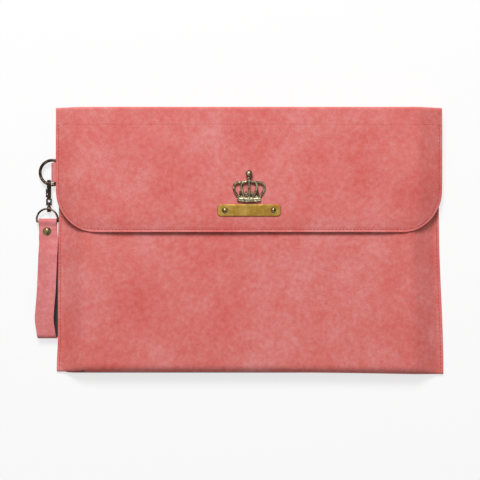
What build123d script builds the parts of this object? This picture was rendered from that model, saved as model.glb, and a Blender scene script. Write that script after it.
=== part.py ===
from build123d import *
import os
from math import sqrt

# Padded envelope laptop sleeve with a clip-on wrist strap, lying on its back.
# X runs across the sleeve, +Y towards its folded top edge and +Z out of its front.
# The origin is the centre of the back, on the surface that the sleeve lies on.
# All sizes are in millimetres.

# Sheets that the sleeve is cut from
leather = 0.9
foam = 1.0
lining = 0.4
board = 0.9

# Pouch
pouch_width = 352.0
pouch_depth = 16.0
pouch_bottom_y = -123.0
mouth_set_back = 13.4
crease_y = 121.4
flange_width = 5.0
slope_width = 21.0
bottom_back_radius = 3.5
bottom_front_radius = 9.0
shoulder_radius = 18.0
foot_radius = 5.0
foam_margin = 8.0
mouth_hem = 5.0

# Flap and the spine strip that joins it to the back
flap_overhang = 2.0
flap_bottom_y = 7.8
flap_corner_radius = 38.0
flap_stand_off = 2.3
flap_edge_height = 7.6
flap_slope_width = 22.0
crease_clearance = 0.35
spine_side_margin = 2.5

# Sewing
stitch_inset = 2.2
thread_width = 0.6
thread_depth = 0.3
thread_end_margin = 3.0

# Magnetic snaps near the flap's lower edge
snap_spacing = 190.0
snap_y = 27.0
snap_diameter = 14.0
snap_socket_height = 1.1
snap_stud_plate = 0.6
snap_nub_diameter = 4.6
snap_nub_clearance = 0.3
snap_wall = 0.5
snap_floor = 0.3
snap_shank_diameter = 2.4
snap_washer_diameter = 11.0
snap_washer_thickness = 0.4

# Plate on the flap
plate_length = 58.4
plate_height = 11.2
plate_thickness = 1.0
plate_corner_radius = 3.8
plate_y = 27.6
plate_rivet_spacing = 44.4
plate_rivet_diameter = 5.4
plate_rivet_rise = 1.4
rivet_shank_diameter = 2.2
rivet_back_thickness = 0.5

# Crown-shaped charm on the flap
crown_base_width = 22.5
crown_base_y = 37.0
crown_base_height = 2.9
crown_top_y = 56.8
crown_rib_radius = 1.45
crown_rib_rise = 0.9
crown_bead_radius = 1.6
crown_beads = 7
crown_ball_diameter = 6.6
crown_ball_y = 60.8
crown_outer_reach = 13.4
crown_outer_foot = 10.0
crown_inner_reach = 6.6
crown_inner_foot = 4.6
crown_rib_foot_y = 39.6
crown_widest_y = 48.6
crown_pin_diameter = 2.0
crown_cap_diameter = 4.4

# Ring on the side seam, and the leather tab that holds it
chain_height = 4.2
seam_ring_y = 63.0
seam_ring_bar_clearance = 3.4
seam_ring_wire = 2.8
seam_ring_half_bar = 11.0
seam_ring_depth = 14.1
tab_width = 18.0
tab_leather = 1.0
tab_clearance = 0.3
tab_tail_length = 8.0

# Swivel snap hook
hook_hang = 5.8
hook_thickness = 3.0
hook_bowl_drop = 10.6
hook_bowl_radius = 2.1
hook_wall = 1.7
hook_bowl_length = 10.0
hook_bowl_rise = 0.25
gate_gap = 0.3
gate_root_gap = 0.9
gate_web = 0.6
gate_tip_drop = 4.8
gate_pivot_drop = 1.6
gate_pin_diameter = 1.0
gate_cheek = 0.8
gate_cheek_clearance = 0.1
spring_diameter = 2.0
spring_width = 0.9
barrel_size = 4.8
barrel_length = 10.0
barrel_end_wall = 1.7
window_length = 3.6
window_width = 3.0
swivel_post_diameter = 1.6
swivel_head_diameter = 2.6
swivel_head_length = 1.1
swivel_clearance = 0.2
swivel_eye_width = 3.2
swivel_eye_wall = 1.3
swivel_eye_clearance = 0.55

# Ring on the wrist strap
strap_ring_hang = 1.7
strap_ring_drop = 14.8
strap_ring_wire = 1.8
strap_ring_half_bar = 9.5
strap_ring_depth = 11.8

# Wrist strap
strap_width = 16.7
strap_leather = 0.9
strap_lining_thickness = 0.6
strap_eye_clearance = 0.4
strap_bottom_y = -90.6
strap_loop_height = 8.0
strap_neck_drop = 13.6
strap_neck_length = 8.6
strap_spread_length = 14.0
strap_rivet_drop = 9.3
strap_rivet_diameter = 8.0
strap_rivet_rise = 1.5
strap_rivet_rim = 0.5
strap_post_diameter = 3.0

# Sizes that follow from the values above
flange_thickness = 2 * (leather + lining)
wall = leather + foam + lining
flap_thickness = leather + board + lining
flap_under = pouch_depth + flap_stand_off
flap_top = flap_under + flap_thickness
spine_inner_y = crease_y - flap_thickness / 2
lower_crease_z = flange_thickness / 2
spine_bottom = flange_thickness + crease_clearance
spine_top = flap_under - crease_clearance
pouch_half = pouch_width / 2
flap_width = pouch_width + 2 * flap_overhang
flap_half = flap_width / 2
mouth_y = crease_y - mouth_set_back
seam_x = pouch_half - stitch_inset
long = 2 * pouch_width
seam_ring_bar_x = -pouch_half - seam_ring_bar_clearance
hook_x = seam_ring_bar_x - hook_hang
hook_bowl_y = seam_ring_y - hook_bowl_drop
gate_tip_y = hook_bowl_y - gate_tip_drop
hook_bowl_end_y = hook_bowl_y - hook_bowl_length
gate_pivot_y = hook_bowl_end_y - gate_pivot_drop
barrel_end_y = hook_bowl_end_y - barrel_length
strap_ring_x = hook_x - strap_ring_hang
strap_ring_bar_y = barrel_end_y - strap_ring_drop
strap_neck_y = strap_ring_bar_y - strap_neck_drop
strap_rivet_y = strap_ring_bar_y - strap_rivet_drop


def corners_at(sketch, x):
    """The corners of a sketch that lie at the distance x either side of its middle."""
    return sketch.vertices().filter_by(lambda corner: abs(abs(corner.X) - x) < 0.01)


def pouch_form(inset, flanged=True):
    """The pouch as a solid, moved in by inset at its faces, sides and bottom, open-ended at the top."""
    foot_x = pouch_half - flange_width
    rim = flange_thickness if flanged else 0
    slope = slope_width / (pouch_depth - flange_thickness)
    edge_x = pouch_half if flanged else foot_x + slope * flange_thickness
    with BuildPart() as form:
        with BuildSketch(Plane.XZ) as section:
            with BuildLine():
                Polyline(
                    (-edge_x, 0),
                    (edge_x, 0),
                    *([(edge_x, rim), (foot_x, rim)] if flanged else []),
                    (foot_x - slope_width, pouch_depth),
                    (slope_width - foot_x, pouch_depth),
                    *([(-foot_x, rim), (-edge_x, rim)] if flanged else []),
                    close=True,
                )
            make_face()
            fillet(corners_at(section, foot_x - slope_width), radius=shoulder_radius)
            if flanged:
                fillet(corners_at(section, foot_x), radius=foot_radius)
            if inset:
                offset(amount=-inset, kind=Kind.INTERSECTION)
        extrude(amount=long, both=True)
        with BuildSketch(Plane.YZ) as side:
            with Locations((0, pouch_depth / 2)):
                Rectangle(long, pouch_depth, align=(Align.MIN, Align.CENTER))
            low = side.vertices().group_by(Axis.X)[0].sort_by(Axis.Y)
            fillet(low[0], radius=bottom_back_radius)
            high = side.vertices().sort_by(Axis.Y)[-2:].sort_by(Axis.X)[0]
            fillet(high, radius=bottom_front_radius)
            if inset:
                offset(amount=-inset, kind=Kind.INTERSECTION)
        extrude(amount=long, both=True, mode=Mode.INTERSECT)
    return form.part.moved(Location((0, pouch_bottom_y, 0)))


def front_above_mouth():
    """What is taken off every layer of the pouch at its open end."""
    with BuildPart() as waste:
        with BuildSketch(Plane.YZ):
            with Locations((mouth_y, flange_thickness)):
                Rectangle(long, pouch_depth, align=(Align.MIN, Align.MIN))
            with Locations((crease_y, 0)):
                Rectangle(long, 3 * pouch_depth, align=(Align.MIN, Align.CENTER))
        extrude(amount=long, both=True)
    return waste.part


def flap_plan(inset):
    """The flap's outline seen from the front, moved in by inset at its sides and bottom."""
    with BuildSketch() as plan:
        with Locations((0, flap_bottom_y + inset)):
            Rectangle(flap_width - 2 * inset, long, align=(Align.CENTER, Align.MIN))
        fillet(plan.vertices().group_by(Axis.Y)[0], radius=flap_corner_radius - inset)
        with Locations((0, crease_y)):
            Rectangle(long, 2 * long, align=(Align.CENTER, Align.MIN), mode=Mode.SUBTRACT)
    return plan.sketch


def flap_layer(low, high):
    """One sheet of the flap, between two heights above the flap's underside."""
    shoulder_x = flap_half - flap_slope_width
    with BuildPart() as layer:
        with BuildSketch(Plane.XZ) as section:
            with BuildLine():
                Polyline(
                    (-flap_half, flap_edge_height + low),
                    (-shoulder_x, flap_under + low),
                    (shoulder_x, flap_under + low),
                    (flap_half, flap_edge_height + low),
                    (flap_half, flap_edge_height + high),
                    (shoulder_x, flap_under + high),
                    (-shoulder_x, flap_under + high),
                    (-flap_half, flap_edge_height + high),
                    close=True,
                )
            make_face()
            fillet(corners_at(section, shoulder_x), radius=shoulder_radius)
        extrude(amount=long, both=True)
        with BuildSketch():
            add(flap_plan(0))
        extrude(amount=long, mode=Mode.INTERSECT)
    return layer.part


def spine_layer(near, far):
    """One sheet of the spine strip, between two distances behind its inner face."""
    shoulder_x = flap_half - flap_slope_width
    spine_half = pouch_half - spine_side_margin
    drop = (flap_under - flap_edge_height) * (spine_half - shoulder_x) / flap_slope_width
    with BuildPart() as layer:
        with BuildSketch(Plane.XZ.offset(-(spine_inner_y + near))) as section:
            with BuildLine():
                Polyline(
                    (-spine_half, spine_bottom),
                    (spine_half, spine_bottom),
                    (spine_half, spine_top - drop),
                    (shoulder_x, spine_top),
                    (-shoulder_x, spine_top),
                    (-spine_half, spine_top - drop),
                    close=True,
                )
            make_face()
            fillet(corners_at(section, shoulder_x), radius=shoulder_radius)
        extrude(amount=near - far)
    return layer.part


def post(places, diameter, low, high):
    """Round posts at the places given, between two heights."""
    with BuildPart() as posts:
        with BuildSketch(Plane.XY.offset(low)):
            with Locations(*places):
                Circle(diameter / 2)
        extrude(amount=high - low)
    return posts.part


def domes(places, diameter, rise, height):
    """Domed rivet heads that stand on the height given."""
    radius = (diameter**2 / 4 + rise**2) / (2 * rise)
    with BuildPart() as heads:
        with Locations(*[(x, y, height + rise - radius) for x, y in places]):
            Sphere(radius)
        with BuildSketch(Plane.XY.offset(height)):
            Rectangle(long, long)
        extrude(amount=-long, mode=Mode.SUBTRACT)
    return heads.part


def wire_ring(centre, bar_direction, half_bar, depth, wire):
    """A D-shaped ring of round wire: a straight bar, and a bow to the left of its direction."""
    frame = Plane(centre, x_dir=bar_direction, z_dir=(0, 0, 1))
    with BuildPart() as ring:
        with BuildLine(frame) as bow:
            ThreePointArc((-half_bar, 0), (0, depth), (half_bar, 0))
        with BuildSketch(Plane(bow.line @ 0, z_dir=bow.line % 0)):
            Circle(wire / 2)
        sweep()
        with BuildLine(frame) as bar:
            Line((-half_bar, 0), (half_bar, 0))
        with BuildSketch(Plane(bar.line @ 0, z_dir=bar.line % 0)):
            Circle(wire / 2)
        sweep(path=bar.line)
        with Locations(bow.line @ 0, bow.line @ 1):
            Sphere(wire / 2)
    return ring.part


# Pouch: one leather sheet folded along the bottom, foam plates and a lining that fills the seams
with BuildPart() as front_foam:
    add(pouch_form(leather, flanged=False))
    add(pouch_form(leather + foam, flanged=False), mode=Mode.SUBTRACT)
    with Locations((0, pouch_bottom_y + foam_margin, pouch_depth / 2)):
        Box(
            pouch_width - 2 * foam_margin - 2 * flange_width,
            mouth_y - mouth_hem - pouch_bottom_y - foam_margin,
            pouch_depth,
            align=(Align.CENTER, Align.MIN, Align.MIN),
            mode=Mode.INTERSECT,
        )

with BuildPart() as back_foam:
    with Locations((0, pouch_bottom_y + foam_margin, leather)):
        Box(
            pouch_width - 2 * foam_margin - 4 * flange_width,
            crease_y - mouth_hem - pouch_bottom_y - foam_margin,
            foam,
            align=(Align.CENTER, Align.MIN, Align.MIN),
        )

snap_places = [(-snap_spacing / 2, snap_y), (snap_spacing / 2, snap_y)]
leather_under = pouch_depth - leather

with BuildPart() as pouch_lining:
    add(pouch_form(leather))
    add(pouch_form(wall, flanged=False), mode=Mode.SUBTRACT)
    add(front_foam.part, mode=Mode.SUBTRACT)
    add(back_foam.part, mode=Mode.SUBTRACT)
    add(front_above_mouth(), mode=Mode.SUBTRACT)

with BuildPart() as seam_threads:
    for side in (-1, 1):
        for height in (0, flange_thickness - thread_depth):
            with Locations((side * seam_x, pouch_bottom_y + 2 * thread_end_margin, height)):
                Box(
                    thread_width,
                    mouth_y - pouch_bottom_y - 3 * thread_end_margin,
                    thread_depth,
                    align=(Align.CENTER, Align.MIN, Align.MIN),
                )

with BuildPart() as mouth_thread:
    with Locations((0, mouth_y - stitch_inset, pouch_depth - thread_depth)):
        Box(
            pouch_width - 2 * slope_width - 2 * flange_width - 2 * shoulder_radius,
            thread_width,
            thread_depth,
            align=(Align.CENTER, Align.CENTER, Align.MIN),
        )

with BuildPart() as pouch_outer:
    add(pouch_form(0))
    add(pouch_form(leather), mode=Mode.SUBTRACT)
    add(front_above_mouth(), mode=Mode.SUBTRACT)
    add(seam_threads.part, mode=Mode.SUBTRACT)
    add(mouth_thread.part, mode=Mode.SUBTRACT)
    add(post(snap_places, snap_shank_diameter, leather_under, pouch_depth), mode=Mode.SUBTRACT)

# Tab that is sewn into the side seam and holds the upper ring's bar
tab_inner_radius = seam_ring_wire / 2 + tab_clearance
tab_outer_radius = tab_inner_radius + tab_leather
tail_low = leather
tail_high = flange_thickness - leather

with BuildPart() as ring_tab:
    with BuildSketch(Plane.XZ.offset(-(seam_ring_y + tab_width / 2))):
        with Locations((seam_ring_bar_x, chain_height)):
            Circle(tab_outer_radius)
        with Locations((seam_ring_bar_x, tail_low)):
            Rectangle(
                tab_outer_radius + crease_clearance,
                chain_height - tail_low,
                align=(Align.MIN, Align.MIN),
            )
            Rectangle(tab_tail_length, tail_high - tail_low, align=(Align.MIN, Align.MIN))
        with Locations((seam_ring_bar_x, chain_height)):
            Circle(tab_inner_radius, mode=Mode.SUBTRACT)
    extrude(amount=tab_width)

with BuildPart() as tail_slot:
    with Locations((seam_ring_bar_x, seam_ring_y, tail_low)):
        Box(
            tab_tail_length,
            tab_width,
            tail_high - tail_low,
            align=(Align.MIN, Align.CENTER, Align.MIN),
        )

pouch_outer.part = pouch_outer.part - tail_slot.part
pouch_lining.part = pouch_lining.part - tail_slot.part

# Magnetic snaps: cup, ring magnet and washer on the front, stud and washer on the flap
nub_reach = flap_stand_off - snap_floor - snap_nub_clearance
bore_diameter = snap_nub_diameter + 2 * snap_nub_clearance

with BuildPart() as snap_sockets:
    add(post(snap_places, snap_diameter, pouch_depth, pouch_depth + snap_socket_height))
    add(
        post(
            snap_places,
            snap_diameter - 2 * snap_wall,
            pouch_depth + snap_floor,
            pouch_depth + snap_socket_height,
        ),
        mode=Mode.SUBTRACT,
    )
    add(
        post(
            snap_places,
            snap_shank_diameter,
            leather_under - snap_washer_thickness,
            pouch_depth,
        )
    )

with BuildPart() as snap_magnets:
    low = pouch_depth + snap_floor
    high = pouch_depth + snap_socket_height
    add(post(snap_places, snap_diameter - 2 * snap_wall, low, high))
    add(post(snap_places, bore_diameter, low, high), mode=Mode.SUBTRACT)

with BuildPart() as snap_socket_washers:
    low = leather_under - snap_washer_thickness
    add(post(snap_places, snap_washer_diameter, low, leather_under))
    add(post(snap_places, snap_shank_diameter, low, leather_under), mode=Mode.SUBTRACT)

front_foam.part = front_foam.part - post(
    snap_places, snap_washer_diameter, leather_under - snap_washer_thickness, leather_under
)

with BuildPart() as snap_studs:
    add(post(snap_places, snap_diameter, flap_under - snap_stud_plate, flap_under))
    add(post(snap_places, snap_nub_diameter, flap_under - nub_reach, flap_under))
    add(
        post(
            snap_places,
            snap_shank_diameter,
            flap_under,
            flap_under + lining + snap_washer_thickness,
        )
    )

with BuildPart() as snap_stud_washers:
    low = flap_under + lining
    high = low + snap_washer_thickness
    add(post(snap_places, snap_washer_diameter, low, high))
    add(post(snap_places, snap_shank_diameter, low, high), mode=Mode.SUBTRACT)

# Fasteners that pass through the flap
plate_rivet_places = [
    (-plate_rivet_spacing / 2, plate_y),
    (plate_rivet_spacing / 2, plate_y),
]
crown_pin_places = [(0, crown_base_y), (0, crown_ball_y)]
back_low = flap_under - rivet_back_thickness

with BuildPart() as flap_holes:
    add(post(plate_rivet_places, rivet_shank_diameter, flap_under, flap_top))
    add(post(crown_pin_places, crown_pin_diameter, flap_under, flap_top))

# Flap: lining, board and leather, with a line of stitches along its free edges
with BuildPart() as flap_thread:
    add(flap_layer(flap_thickness - thread_depth, flap_thickness))
    with BuildSketch():
        add(flap_plan(stitch_inset + thread_width / 2))
        add(flap_plan(stitch_inset + 3 * thread_width / 2), mode=Mode.SUBTRACT)
        with Locations((0, crease_y - 2 * thread_end_margin)):
            Rectangle(long, long, align=(Align.CENTER, Align.MIN), mode=Mode.SUBTRACT)
    extrude(amount=long, mode=Mode.INTERSECT)

with BuildPart() as flap_outer:
    add(flap_layer(lining + board, flap_thickness))
    add(flap_thread.part, mode=Mode.SUBTRACT)
    add(flap_holes.part, mode=Mode.SUBTRACT)

with BuildPart() as flap_board:
    add(flap_layer(lining, lining + board))
    add(flap_holes.part, mode=Mode.SUBTRACT)
    low = flap_under + lining
    add(
        post(snap_places, snap_washer_diameter, low, low + snap_washer_thickness),
        mode=Mode.SUBTRACT,
    )

with BuildPart() as flap_lining:
    add(flap_layer(0, lining))
    add(flap_holes.part, mode=Mode.SUBTRACT)
    add(
        post(snap_places, snap_shank_diameter, flap_under, flap_under + lining),
        mode=Mode.SUBTRACT,
    )

# Spine strip: the narrow strip between the two creases
with BuildPart() as spine_lining:
    add(spine_layer(0, lining))

with BuildPart() as spine_board:
    add(spine_layer(lining, lining + board))

with BuildPart() as spine_outer:
    add(spine_layer(lining + board, flap_thickness))

# Plate and its two rivets
with BuildPart() as name_plate:
    with BuildSketch(Plane.XY.offset(flap_top)):
        with Locations((0, plate_y)):
            RectangleRounded(plate_length, plate_height, plate_corner_radius)
        with Locations(*plate_rivet_places):
            Circle(rivet_shank_diameter / 2, mode=Mode.SUBTRACT)
    extrude(amount=plate_thickness)

with BuildPart() as plate_rivets:
    add(
        domes(
            plate_rivet_places,
            plate_rivet_diameter,
            plate_rivet_rise,
            flap_top + plate_thickness,
        )
    )
    add(post(plate_rivet_places, rivet_shank_diameter, back_low, flap_top + plate_thickness))

with BuildPart() as plate_rivet_backs:
    add(post(plate_rivet_places, plate_rivet_diameter, back_low, flap_under))
    add(
        post(plate_rivet_places, rivet_shank_diameter, back_low, flap_under),
        mode=Mode.SUBTRACT,
    )

# Crown: five ribs that rise from a beaded band to a collar and a ball
rib_height = flap_top + crown_rib_rise
rib_plane = Plane.XY.offset(rib_height)
ribs = [
    (crown_outer_foot, crown_outer_reach),
    (crown_inner_foot, crown_inner_reach),
    (0, 0),
    (-crown_inner_foot, -crown_inner_reach),
    (-crown_outer_foot, -crown_outer_reach),
]

with BuildPart() as crown_charm:
    for foot_x, reach_x in ribs:
        with BuildLine(rib_plane) as rib:
            if reach_x:
                ThreePointArc(
                    (foot_x, crown_rib_foot_y),
                    (reach_x, crown_widest_y),
                    (0, crown_top_y),
                )
            else:
                Line((0, crown_rib_foot_y), (0, crown_top_y))
        with BuildSketch(Plane(rib.line @ 0, z_dir=rib.line % 0)):
            Circle(crown_rib_radius)
        sweep(path=rib.line)
    bead_pitch = (crown_base_width - 2 * crown_bead_radius) / (crown_beads - 1)
    with Locations((0, crown_rib_foot_y, rib_height)):
        with GridLocations(bead_pitch, 0, crown_beads, 1):
            Sphere(crown_bead_radius)
        Cylinder(crown_rib_radius, crown_base_width - crown_bead_radius, rotation=(0, 90, 0))
    with Locations((0, crown_base_y, flap_top)):
        Box(
            crown_base_width,
            crown_base_height,
            2 * crown_rib_rise + crown_rib_radius,
            align=(Align.CENTER, Align.CENTER, Align.MIN),
        )
    with Locations((0, crown_top_y, rib_height)):
        Sphere(2 * crown_rib_radius)
    with Locations((0, crown_ball_y, flap_top + crown_ball_diameter / 3)):
        Sphere(crown_ball_diameter / 2)
    with BuildSketch(Plane.XY.offset(flap_top)):
        Rectangle(long, long)
    extrude(amount=-long, mode=Mode.SUBTRACT)
    add(post(crown_pin_places, crown_pin_diameter, back_low, flap_top + crown_rib_rise))

with BuildPart() as crown_caps:
    add(post(crown_pin_places, crown_cap_diameter, back_low, flap_under))
    add(post(crown_pin_places, crown_pin_diameter, back_low, flap_under), mode=Mode.SUBTRACT)

# Ring on the side seam
seam_ring = wire_ring(
    (seam_ring_bar_x, seam_ring_y, chain_height),
    (0, 1, 0),
    seam_ring_half_bar,
    seam_ring_depth,
    seam_ring_wire,
)

# Snap hook, drawn from the side: Y along the hook and Z across it
hook_side = Plane.YZ.offset(hook_x)
bowl_z = chain_height + hook_bowl_rise
bowl_low = bowl_z - hook_bowl_radius
bowl_high = bowl_z + hook_bowl_radius
hook_outer_radius = hook_bowl_radius + hook_wall
gate_pivot_z = bowl_high + hook_wall / 2
barrel_top_y = hook_bowl_end_y - crease_clearance
window_low_y = barrel_end_y + barrel_end_wall
pin_half = hook_thickness / 2 + gate_cheek_clearance + gate_cheek

with BuildPart() as hook_body:
    with BuildSketch(hook_side) as hook_profile:
        with Locations((hook_bowl_y, bowl_z)):
            Circle(hook_outer_radius)
            Rectangle(
                hook_bowl_y - window_low_y - window_length,
                2 * hook_outer_radius,
                align=(Align.MAX, Align.CENTER),
            )
            Circle(hook_bowl_radius, mode=Mode.SUBTRACT)
            Rectangle(
                hook_bowl_y - hook_bowl_end_y,
                2 * hook_bowl_radius,
                align=(Align.MAX, Align.CENTER),
                mode=Mode.SUBTRACT,
            )
        with Locations((hook_bowl_end_y, bowl_high)):
            Rectangle(
                gate_tip_y + gate_gap - hook_bowl_end_y,
                2 * hook_wall,
                align=(Align.MIN, Align.MIN),
                mode=Mode.SUBTRACT,
            )
    extrude(amount=hook_thickness / 2, both=True)
    with Locations((hook_x, barrel_end_y, chain_height)):
        Box(
            barrel_size,
            window_low_y + window_length + hook_wall / 2 - barrel_end_y,
            barrel_size,
            align=(Align.CENTER, Align.MIN, Align.CENTER),
        )
    with Locations((hook_x, window_low_y, chain_height)):
        Box(
            window_width,
            window_length,
            2 * hook_outer_radius,
            align=(Align.CENTER, Align.MIN, Align.CENTER),
            mode=Mode.SUBTRACT,
        )
    with BuildSketch(Plane.XZ.offset(-window_low_y)):
        with Locations((hook_x, chain_height)):
            Circle(swivel_post_diameter / 2 + swivel_clearance)
    extrude(amount=2 * barrel_end_wall, mode=Mode.SUBTRACT)
    with BuildSketch(Plane.YZ.offset(hook_x - hook_thickness / 2)):
        with Locations((gate_pivot_y, gate_pivot_z)):
            Circle(spring_diameter / 2 + gate_cheek_clearance)
    extrude(amount=spring_width + gate_cheek_clearance, mode=Mode.SUBTRACT)
    with BuildSketch(hook_side):
        with Locations((gate_pivot_y, gate_pivot_z)):
            Circle(gate_pin_diameter / 2)
    extrude(amount=hook_thickness, both=True, mode=Mode.SUBTRACT)

with BuildPart() as gate_pin:
    with BuildSketch(hook_side):
        with Locations((gate_pivot_y, gate_pivot_z)):
            Circle(gate_pin_diameter / 2)
    extrude(amount=pin_half, both=True)

with BuildPart() as gate_spring:
    with BuildSketch(Plane.YZ.offset(hook_x - hook_thickness / 2)):
        with Locations((gate_pivot_y, gate_pivot_z)):
            Circle(spring_diameter / 2)
            Circle(gate_pin_diameter / 2, mode=Mode.SUBTRACT)
    extrude(amount=spring_width)

with BuildPart() as hook_gate:
    with BuildSketch(hook_side):
        with Locations((hook_bowl_end_y + gate_root_gap, bowl_high)):
            Rectangle(
                gate_tip_y - hook_bowl_end_y - gate_root_gap,
                hook_wall,
                align=(Align.MIN, Align.MIN),
            )
    extrude(amount=pin_half, both=True)
    with BuildSketch(hook_side):
        with Locations((gate_pivot_y, gate_pivot_z)):
            Circle(hook_wall / 2)
            Rectangle(
                hook_bowl_end_y + gate_root_gap + gate_web - gate_pivot_y,
                hook_wall,
                align=(Align.MIN, Align.CENTER),
            )
    extrude(amount=pin_half, both=True)
    with BuildSketch(hook_side):
        with Locations((hook_bowl_end_y + gate_root_gap, gate_pivot_z)):
            Rectangle(
                2 * hook_outer_radius,
                2 * hook_outer_radius,
                align=(Align.MAX, Align.CENTER),
            )
    extrude(
        amount=hook_thickness / 2 + gate_cheek_clearance, both=True, mode=Mode.SUBTRACT
    )
    with BuildSketch(hook_side):
        with Locations((gate_pivot_y, gate_pivot_z)):
            Circle(gate_pin_diameter / 2 + gate_cheek_clearance / 2)
    extrude(amount=hook_thickness, both=True, mode=Mode.SUBTRACT)

# Swivel: an eye round the lower ring, and a headed post in the hook's window
bow_radius = (strap_ring_half_bar**2 + strap_ring_depth**2) / (2 * strap_ring_depth)
eye_offset = hook_x - strap_ring_x + swivel_eye_width / 4
bow_drop = bow_radius - sqrt(bow_radius**2 - eye_offset**2)
eye_y = strap_ring_bar_y + strap_ring_depth - bow_drop
eye_hole = strap_ring_wire / 2 + swivel_eye_clearance

with BuildPart() as swivel:
    with BuildSketch(hook_side):
        with Locations((eye_y, chain_height)):
            Circle(eye_hole + swivel_eye_wall)
    extrude(amount=swivel_eye_width / 2, both=True)
    with BuildSketch(Plane.XZ.offset(-eye_y)):
        with Locations((hook_x, chain_height)):
            Circle(swivel_post_diameter / 2)
    extrude(amount=eye_y - window_low_y - swivel_clearance - swivel_head_length)
    with BuildSketch(Plane.XZ.offset(-(window_low_y + swivel_clearance))):
        with Locations((hook_x, chain_height)):
            Circle(swivel_head_diameter / 2)
    extrude(amount=-swivel_head_length)
    with BuildSketch(hook_side):
        with Locations((eye_y, chain_height)):
            Circle(eye_hole)
    extrude(amount=swivel_eye_width, both=True, mode=Mode.SUBTRACT)

# Ring on the wrist strap
strap_ring = wire_ring(
    (strap_ring_x, strap_ring_bar_y, chain_height),
    (1, 0, 0),
    strap_ring_half_bar,
    strap_ring_depth,
    strap_ring_wire,
)

# Wrist strap, drawn from the side: a loop round the ring's bar, a riveted neck and a hand loop
strap_thickness = strap_leather + strap_lining_thickness
bar_loop_radius = strap_ring_wire / 2 + strap_eye_clearance + strap_thickness
hand_loop_radius = strap_loop_height / 2
hand_loop_y = strap_bottom_y + hand_loop_radius
strap_side = Plane.YZ.offset(strap_ring_x)


def strap_outline(inset):
    """The strap loop's outline from the side, moved in by inset."""
    neck_half = strap_thickness - inset
    bend = bar_loop_radius - inset
    loop_half = hand_loop_radius - inset
    with BuildSketch() as outline:
        with BuildLine():
            upper = Polyline(
                (strap_ring_bar_y, bend),
                (strap_neck_y + strap_neck_length, neck_half),
                (strap_neck_y, neck_half),
                (strap_neck_y - strap_spread_length, loop_half),
                (hand_loop_y, loop_half),
            )
            ThreePointArc(
                (hand_loop_y, loop_half),
                (hand_loop_y - loop_half, 0),
                (hand_loop_y, -loop_half),
            )
            mirror(upper, about=Plane.XZ)
            ThreePointArc(
                (strap_ring_bar_y, -bend),
                (strap_ring_bar_y + bend, 0),
                (strap_ring_bar_y, bend),
            )
        make_face()
    return outline.sketch.moved(Location((0, chain_height, 0)))


with BuildPart() as strap_rivet_post:
    add(
        post(
            [(strap_ring_x, strap_rivet_y)],
            strap_post_diameter,
            chain_height - strap_thickness - strap_rivet_rim,
            chain_height + strap_thickness,
        )
    )

with BuildPart() as strap_outer:
    with BuildSketch(strap_side):
        add(strap_outline(0))
        add(strap_outline(strap_leather), mode=Mode.SUBTRACT)
    extrude(amount=strap_width / 2, both=True)
    add(strap_rivet_post.part, mode=Mode.SUBTRACT)

with BuildPart() as strap_lining:
    with BuildSketch(strap_side):
        add(strap_outline(strap_leather))
    extrude(amount=strap_width / 2, both=True)
    with BuildSketch(strap_side):
        with Locations((strap_ring_bar_y, chain_height)):
            Circle(bar_loop_radius - strap_thickness)
    extrude(amount=strap_width, both=True, mode=Mode.SUBTRACT)
    with BuildSketch(strap_side):
        with BuildLine():
            half = hand_loop_radius - strap_thickness
            Polyline(
                (hand_loop_y, chain_height + half),
                (strap_neck_y - strap_spread_length, chain_height + half),
                (strap_neck_y - strap_spread_length / 4, chain_height),
                (strap_neck_y - strap_spread_length, chain_height - half),
                (hand_loop_y, chain_height - half),
            )
            ThreePointArc(
                (hand_loop_y, chain_height - half),
                (hand_loop_y - half, chain_height),
                (hand_loop_y, chain_height + half),
            )
        make_face()
    extrude(amount=strap_width, both=True, mode=Mode.SUBTRACT)
    add(strap_rivet_post.part, mode=Mode.SUBTRACT)

strap_rivet_place = [(strap_ring_x, strap_rivet_y)]

with BuildPart() as strap_rivet:
    add(
        domes(
            strap_rivet_place,
            strap_rivet_diameter,
            strap_rivet_rise,
            chain_height + strap_thickness,
        )
    )
    add(strap_rivet_post.part)

with BuildPart() as strap_rivet_back:
    low = chain_height - strap_thickness - strap_rivet_rim
    high = chain_height - strap_thickness
    add(post(strap_rivet_place, strap_rivet_diameter, low, high))
    add(post(strap_rivet_place, strap_post_diameter, low, high), mode=Mode.SUBTRACT)

pieces = {
    "pouch_outer": pouch_outer.part,
    "front_foam": front_foam.part,
    "back_foam": back_foam.part,
    "pouch_lining": pouch_lining.part,
    "seam_threads": seam_threads.part,
    "mouth_thread": mouth_thread.part,
    "ring_tab": ring_tab.part,
    "snap_sockets": snap_sockets.part,
    "snap_magnets": snap_magnets.part,
    "snap_socket_washers": snap_socket_washers.part,
    "spine_outer": spine_outer.part,
    "spine_board": spine_board.part,
    "spine_lining": spine_lining.part,
    "flap_outer": flap_outer.part,
    "flap_board": flap_board.part,
    "flap_lining": flap_lining.part,
    "flap_thread": flap_thread.part,
    "snap_studs": snap_studs.part,
    "snap_stud_washers": snap_stud_washers.part,
    "name_plate": name_plate.part,
    "plate_rivets": plate_rivets.part,
    "plate_rivet_backs": plate_rivet_backs.part,
    "crown_charm": crown_charm.part,
    "crown_caps": crown_caps.part,
    "seam_ring": seam_ring,
    "hook_body": hook_body.part,
    "hook_gate": hook_gate.part,
    "gate_pin": gate_pin.part,
    "gate_spring": gate_spring.part,
    "swivel": swivel.part,
    "strap_ring": strap_ring,
    "strap_outer": strap_outer.part,
    "strap_lining": strap_lining.part,
    "strap_rivet": strap_rivet.part,
    "strap_rivet_back": strap_rivet_back.part,
}

os.makedirs("parts", exist_ok=True)
for name, piece in pieces.items():
    piece.label = name
    export_step(piece, "parts/" + name + ".step")
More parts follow.
